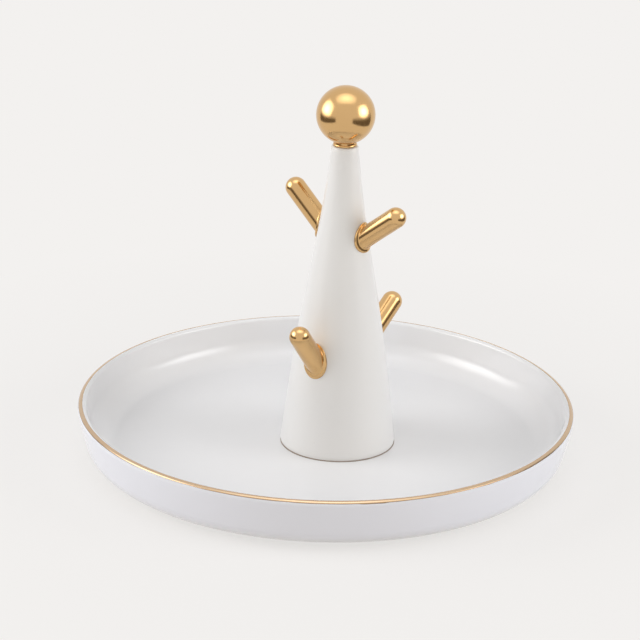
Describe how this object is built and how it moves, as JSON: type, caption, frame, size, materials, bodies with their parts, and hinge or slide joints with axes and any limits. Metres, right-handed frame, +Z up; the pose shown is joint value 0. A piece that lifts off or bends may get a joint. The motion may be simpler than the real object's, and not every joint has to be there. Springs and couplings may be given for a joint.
{
  "type": "ring dish",
  "caption": "Round shallow dish with a gilded lip and a tapered post that carries a ball finial and slanting pegs for rings.",
  "frame": {"origin": "centre of the round dish at the level of the table it stands on, under its foot ring", "axes": "+Z up along the dish's axis, -Y towards the viewer in the picture, +X to the viewer's right; the post stands 3.1 mm off the dish's axis towards +X"},
  "size_m": [0.127, 0.127, 0.0988],
  "materials": {
    "glazed_porcelain": "clear gloss glaze over white porcelain",
    "satin_porcelain": "satin glaze over white porcelain",
    "fired_gold_line": "gold line brushed on the glaze and fired, bright",
    "polished_gold_plate": "mirror-polished warm gold plate over brass",
    "steel_pin": "ground steel dowel pin, hidden",
    "bond": "set epoxy putty, taupe, matt"
  },
  "bodies": {
    "root": {"dish": "glazed_porcelain", "rim_gilding": "fired_gold_line", "post": "satin_porcelain", "post_foot_bond": "bond", "finial_ball": "polished_gold_plate", "finial_collar": "polished_gold_plate", "finial_pin": "steel_pin", "finial_bond": "bond", "peg_upper_front": "polished_gold_plate", "peg_upper_back": "polished_gold_plate", "peg_lower_front": "polished_gold_plate", "peg_lower_back": "polished_gold_plate", "peg_bonds": "bond"}
  },
  "joints": []
}
